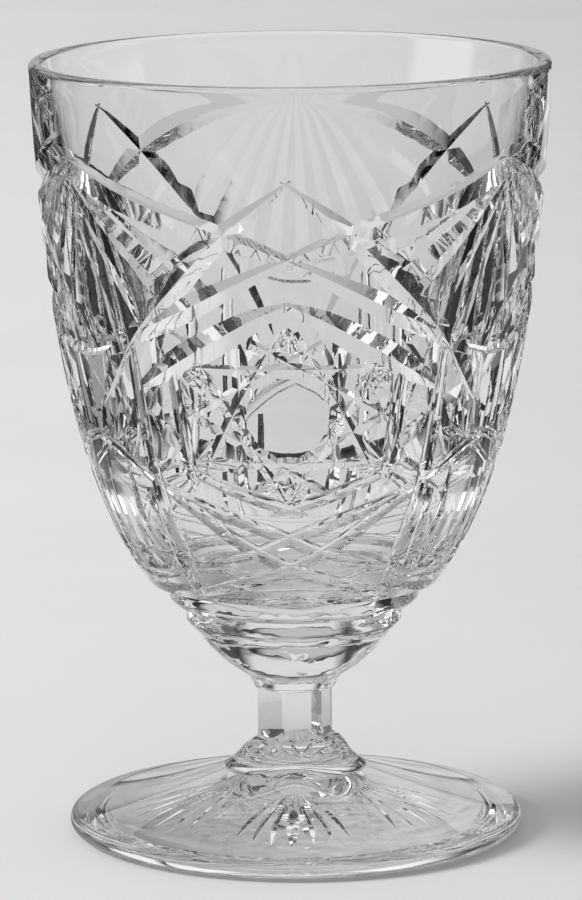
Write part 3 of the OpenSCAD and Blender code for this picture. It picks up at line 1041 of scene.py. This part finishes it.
class TUMBLER_OT_stage(bpy.types.Operator):
    """Set up the camera, the floor with its round backdrop, the lamps and the cards"""

    bl_idname = "tumbler.stage"
    bl_label = "Build the stage"
    bl_options = {"REGISTER", "UNDO"}

    def execute(self, context):
        scene = context.scene
        s = scene.tumbler_stage
        self.camera(scene, s)
        self.floor(scene, s)
        self.lamps(scene, s)
        scene.view_settings.view_transform = "Standard"
        scene.cycles.max_bounces = 32
        scene.cycles.transmission_bounces = 32
        scene.cycles.glossy_bounces = 16
        scene.cycles.transparent_max_bounces = 16
        return {"FINISHED"}

    def camera(self, scene, s):
        data = bpy.data.cameras.new("camera")
        data.lens = s.lens
        data.sensor_width = 36
        data.clip_start = 0.05
        camera = bpy.data.objects.new("camera", data)
        scene.collection.objects.link(camera)
        place = (
            Matrix.Rotation(s.camera_turn, 4, "Z")
            @ Matrix.Translation((s.camera_side, -s.camera_distance, s.camera_height))
            @ Matrix.Rotation(math.pi / 2 - s.camera_pitch, 4, "X")
            @ Matrix.Rotation(s.camera_roll, 4, "Z")
        )
        camera.matrix_world = place
        scene.camera = camera

    def floor(self, scene, s):
        low = -0.0005
        outline = [(0, low), (0.3, low), (1.0, low), (2.4, low)]
        outline += bend((2.4, low), (4.2, low), (4.2, 1.8), 24)[1:]
        outline += [(4.2, 4.0)]
        floor = swept("floor", outline)
        material, tree = new_material("floor")
        output = tree.nodes.new("ShaderNodeOutputMaterial")
        paint = tree.nodes.new("ShaderNodeBsdfDiffuse")
        place, x, _, _ = coordinates(tree)
        # The paper's colour is painted a little darker away from the key lamp, a painted falloff of its light, and it
        # is faintly mottled
        shade = combine(
            tree, "MULTIPLY", ramp(tree, noise(tree, place, 9, 8), 0.3, 0.7, 0.985, 1.015),
            ramp(tree, x, -0.15, 0.2, 1.03, 0.93),
        )
        color = tree.nodes.new("ShaderNodeVectorMath")
        color.operation = "SCALE"
        color.inputs[0].default_value = s.floor_color
        tree.links.new(shade, color.inputs["Scale"])
        tree.links.new(color.outputs["Vector"], paint.inputs["Color"])
        tree.links.new(paint.outputs["BSDF"], output.inputs["Surface"])
        floor.data.materials.append(material)

    def lamps(self, scene, s):
        world = bpy.data.worlds.new("room")
        world.use_nodes = True
        world.node_tree.nodes["Background"].inputs["Color"].default_value = (1, 1, 1, 1)
        world.node_tree.nodes["Background"].inputs["Strength"].default_value = s.world_light
        scene.world = world
        key = bpy.data.lights.new("key", "AREA")
        key.energy = s.key_power
        key.shape = "RECTANGLE"
        key.size, key.size_y = 1.5, 1.5
        lamp = bpy.data.objects.new("key", key)
        lamp.location = (-2.8, -0.5, 2.2)
        lamp.rotation_euler = (Vector((0, 0, 0.05)) - lamp.location).to_track_quat("-Z", "Y").to_euler()
        scene.collection.objects.link(lamp)
        lamp.visible_glossy = False
        lamp.visible_transmission = False
        self.surroundings(s)

    def surroundings(self, s):
        """What the glass shows and mirrors, painted on glowing pieces that only the glass sees: a strip of bright
        paper with painted light and shade in a dim room, and glowing cards as painted reflections of lamps.
        """
        tree, glow = glass_only(swept("paper", [(0, -0.0002), (ROOM_RADIUS, -0.0002)]), 1)
        place, x, y, _ = coordinates(tree)
        side = combine(tree, "ABSOLUTE", x, 0)
        spread = combine(tree, "MULTIPLY", combine(tree, "MAXIMUM", y, 0), s.paper_spread)
        across = combine(tree, "DIVIDE", side, combine(tree, "ADD", spread, s.paper_near))
        light = ramp(tree, across, 0.85, 1.15, s.paper_light, s.room_light)
        # Painted light and shade on the paper: darker in front of the glass and close round it, a little brighter on
        # the key lamp's side, brighter behind the glass, and bright again far in front
        light = combine(tree, "MULTIPLY", light, ramp(tree, y, -0.16, -0.03, 0.4, 1.0))
        light = combine(tree, "MULTIPLY", light, ramp(tree, x, -0.16, 0.16, 1.06, 0.94))
        band = combine(tree, "MINIMUM", ramp(tree, y, 0.03, 0.1, 0.55, 1.12), ramp(tree, y, 0.25, 0.4, 1.12, 1.09))
        light = combine(tree, "MULTIPLY", light, band)
        light = combine(tree, "MAXIMUM", light, ramp(tree, y, -0.5, -0.25, 0.85 * s.paper_light, 0))
        # Painted dapples of light in the glass's shadow under its foot
        dapple = ramp(tree, noise(tree, place, 160, 3), 0.3, 0.7, 0.87, 1.13)
        reach = tree.nodes.new("ShaderNodeVectorMath")
        reach.operation = "LENGTH"
        tree.links.new(place, reach.inputs[0])
        # Painted shadow of the glass on the paper under its foot, darkest on the side of the key lamp, with painted
        # dappled light on the far side
        under = combine(tree, "MULTIPLY", ramp(tree, x, -0.035, 0.014, 0.74, 1.52), dapple)
        under = combine(tree, "MULTIPLY", under, ramp(tree, reach.outputs["Value"], 0.036, 0.06, 1.0, 0.0))
        shade = combine(tree, "ADD", under, ramp(tree, reach.outputs["Value"], 0.036, 0.06, 0.0, 1.0))
        light = combine(tree, "MULTIPLY", light, shade)
        tree.links.new(light, glow.inputs["Strength"])
        # A dim room round the paper that glows bright at its top, a painted reflection of a dark studio under a
        # bright ceiling, which only the glass shows
        dome = [
            (ROOM_RADIUS * math.cos(q), ROOM_RADIUS * math.sin(q) - 0.001)
            for q in (math.radians(a) for a in range(0, 91, 6))
        ]
        tree, glow = glass_only(swept("room", dome), 1)
        light = ramp(tree, coordinates(tree)[3], 0.6, 1.1, s.room_light, 1.0)
        tree.links.new(light, glow.inputs["Strength"])
        for name, turn, lift, distance, width, height, share in BACK_CARDS:
            card(name, turn, lift, distance, width, height, share * s.paper_light)
        for settings in SIDE_CARDS:
            card(*settings)
        for settings in PAINTED_PATCHES:
            painted_patch(*settings)


class TUMBLER_PT_panel(bpy.types.Panel):
    """Settings and buttons of the tumbler"""

    bl_idname = "TUMBLER_PT_panel"
    bl_label = "Footed tumbler"
    bl_space_type = "VIEW_3D"
    bl_region_type = "UI"
    bl_category = "Tumbler"

    def draw(self, context):
        for operator, group in STEPS:
            box = self.layout.box()
            box.operator(operator.bl_idname)
            settings = getattr(context.scene, group)
            for prop in settings.bl_rna.properties:
                if prop.identifier not in {"rna_type", "name"}:
                    box.prop(settings, prop.identifier)


GROUPS = {
    "tumbler_bowl": TumblerBowl,
    "tumbler_stem": TumblerStem,
    "tumbler_foot": TumblerFoot,
    "tumbler_glass": TumblerGlass,
    "tumbler_stage": TumblerStage,
}
STEPS = [
    (TUMBLER_OT_stage, "tumbler_stage"),
    (TUMBLER_OT_bowl, "tumbler_bowl"),
    (TUMBLER_OT_stem, "tumbler_stem"),
    (TUMBLER_OT_foot, "tumbler_foot"),
]
CLASSES = [*GROUPS.values(), *(operator for operator, _ in STEPS), TUMBLER_PT_panel]


def register():
    for cls in CLASSES:
        bpy.utils.register_class(cls)
    for name, group in GROUPS.items():
        setattr(bpy.types.Scene, name, PointerProperty(type=group))


def unregister():
    for name in GROUPS:
        delattr(bpy.types.Scene, name)
    for cls in reversed(CLASSES):
        bpy.utils.unregister_class(cls)


def main():
    register()
    bpy.ops.tumbler.stage()
    bpy.ops.tumbler.bowl()
    bpy.ops.tumbler.stem()
    bpy.ops.tumbler.foot()


if __name__ == "__main__":
    main()
